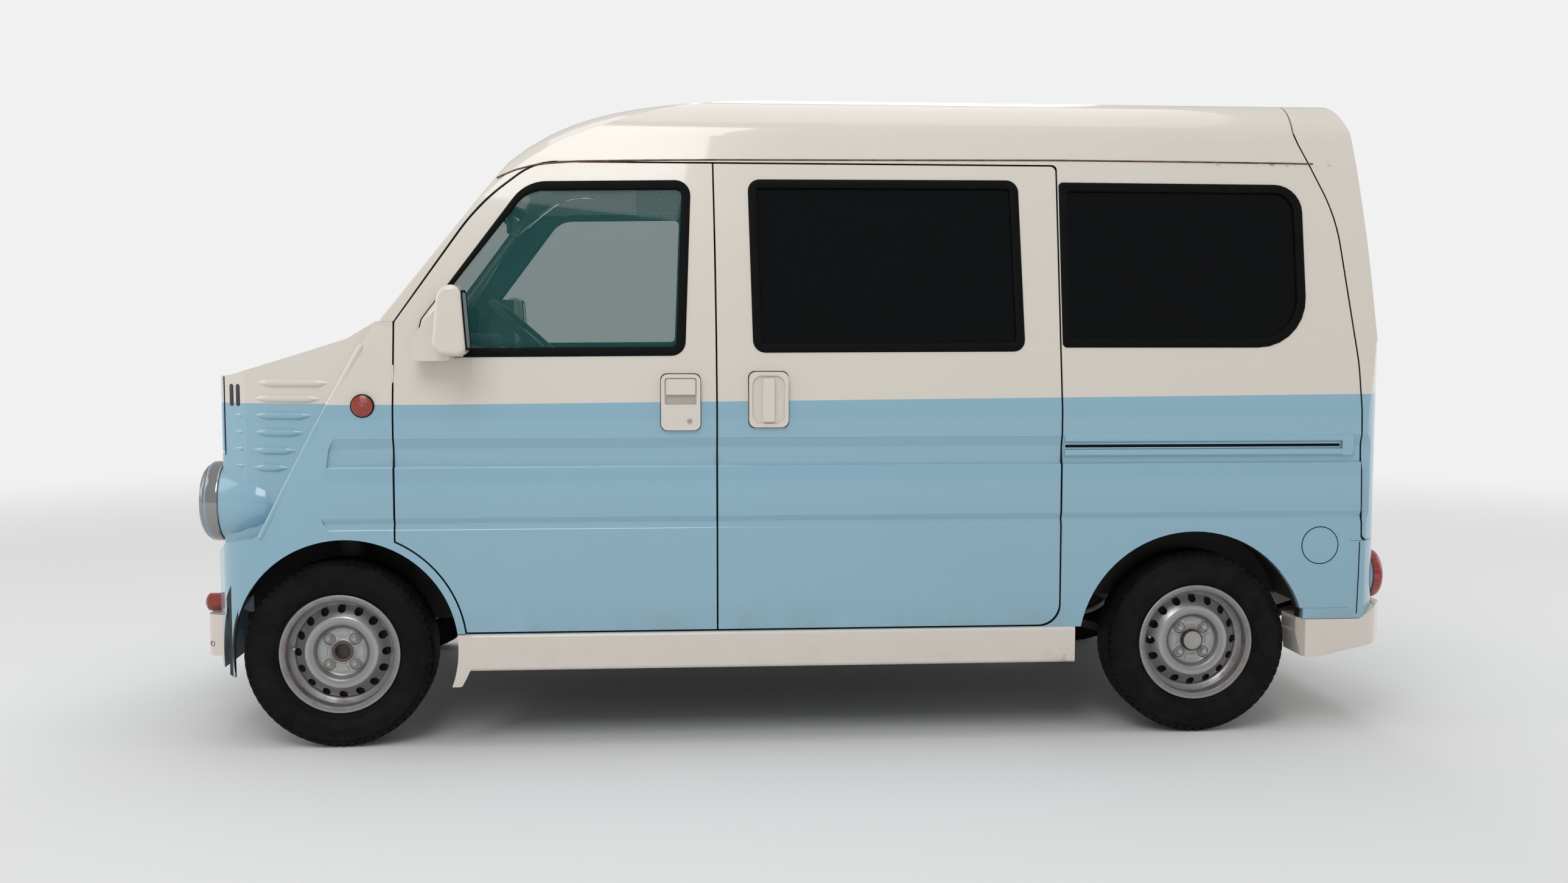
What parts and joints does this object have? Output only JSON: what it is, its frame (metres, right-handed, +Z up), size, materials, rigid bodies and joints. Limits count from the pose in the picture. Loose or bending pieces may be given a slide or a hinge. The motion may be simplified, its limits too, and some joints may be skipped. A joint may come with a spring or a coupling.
{
  "type": "small high-roofed van with a short retro nose",
  "caption": "Small two-tone high-roofed van with a ribbed short nose, round lamps, hinged front doors, tailgate and front lid, and steered wheels.",
  "frame": {"origin": "on the ground below the middle of the van's length and width", "axes": "+X forward, +Y to the van's left, +Z up"},
  "size_m": [3.3983, 1.78, 1.866],
  "materials": {
    "cream": "gloss",
    "blue": "gloss",
    "white": "gloss",
    "underbody": "matt",
    "chrome": "polished",
    "lamp_glass": "clear",
    "amber": "gloss",
    "red_lens": "gloss",
    "clear_glass": "clear",
    "dark_glass": "dark tint",
    "black_plastic": "matt",
    "grey_plastic": "matt",
    "seat_cloth": "woven",
    "cast_iron": "rough",
    "steel": "dull",
    "wheel_steel": "silver",
    "tyre": "matt"
  },
  "bodies": {
    "body": {"body_side_left": "cream", "body_side_right": "cream", "roof": "cream", "underbody": "underbody", "nose": "blue", "rear_panel": "blue", "bumpers_skirts": "white", "fuel_lid": "blue", "headlamp_rings": "chrome", "headlamp_lenses": "lamp_glass", "indicators": "amber", "tail_lamps": "red_lens", "sliding_door_left": "cream", "sliding_door_right": "cream", "slide_handles": "white", "side_glass": "dark_glass", "windscreen": "clear_glass", "wipers": "black_plastic", "dashboard": "grey_plastic", "steering_wheel": "black_plastic", "seats": "seat_cloth", "engine": "cast_iron", "exhaust": "steel", "front_suspension": "underbody", "rear_axle": "underbody", "fuel_tank": "black_plastic"},
    "door_left": {"front_door_left": "cream", "door_glass_left": "clear_glass", "mirror_and_handle_left": "white"},
    "door_right": {"front_door_right": "cream", "door_glass_right": "clear_glass", "mirror_and_handle_right": "white"},
    "tail_door": {"tailgate": "cream", "tailgate_glass": "dark_glass"},
    "lid": {"front_lid": "cream"},
    "steer_left": {"knuckle_left": "cast_iron"},
    "steer_right": {"knuckle_right": "cast_iron"},
    "wheel_front_left": {"front_wheel_left": "wheel_steel", "front_tyre_left": "tyre"},
    "wheel_front_right": {"front_wheel_right": "wheel_steel", "front_tyre_right": "tyre"},
    "wheel_rear_left": {"rear_wheel_left": "wheel_steel", "rear_tyre_left": "tyre"},
    "wheel_rear_right": {"rear_wheel_right": "wheel_steel", "rear_tyre_right": "tyre"}
  },
  "joints": [
    {"name": "left_door_hinge", "type": "hinge", "parent": "body", "child": "door_left", "pos_m": [1.1345, 0.737, 0.86], "axis": [0, 0, -1], "range_deg": [0, 65]},
    {"name": "right_door_hinge", "type": "hinge", "parent": "body", "child": "door_right", "pos_m": [1.1345, -0.737, 0.86], "axis": [0, 0, 1], "range_deg": [0, 65]},
    {"name": "tailgate_hinge", "type": "hinge", "parent": "body", "child": "tail_door", "pos_m": [-1.4135, 0, 1.862], "axis": [0, 1, 0], "range_deg": [0, 85]},
    {"name": "front_lid_hinge", "type": "hinge", "parent": "body", "child": "lid", "pos_m": [1.2595, 0, 1.1335], "axis": [0, -1, 0], "range_deg": [0, 45]},
    {"name": "steer_left_pivot", "type": "hinge", "parent": "body", "child": "steer_left", "pos_m": [1.2975, 0.575, 0.26], "axis": [0, 0, 1], "range_deg": [-33, 33]},
    {"name": "steer_right_pivot", "type": "hinge", "parent": "body", "child": "steer_right", "pos_m": [1.2975, -0.575, 0.26], "axis": [0, 0, 1], "range_deg": [-33, 33]},
    {"name": "front_left_spin", "type": "hinge", "parent": "steer_left", "child": "wheel_front_left", "pos_m": [1.2975, 0.64, 0.26], "axis": [0, 1, 0], "continuous": true},
    {"name": "front_right_spin", "type": "hinge", "parent": "steer_right", "child": "wheel_front_right", "pos_m": [1.2975, -0.64, 0.26], "axis": [0, 1, 0], "continuous": true},
    {"name": "rear_left_spin", "type": "hinge", "parent": "body", "child": "wheel_rear_left", "pos_m": [-1.1225, 0.645, 0.26], "axis": [0, 1, 0], "continuous": true},
    {"name": "rear_right_spin", "type": "hinge", "parent": "body", "child": "wheel_rear_right", "pos_m": [-1.1225, -0.645, 0.26], "axis": [0, 1, 0], "continuous": true}
  ],
  "couplings": [
    {"joint": "steer_right_pivot", "follows": "steer_left_pivot", "ratio": 1}
  ]
}
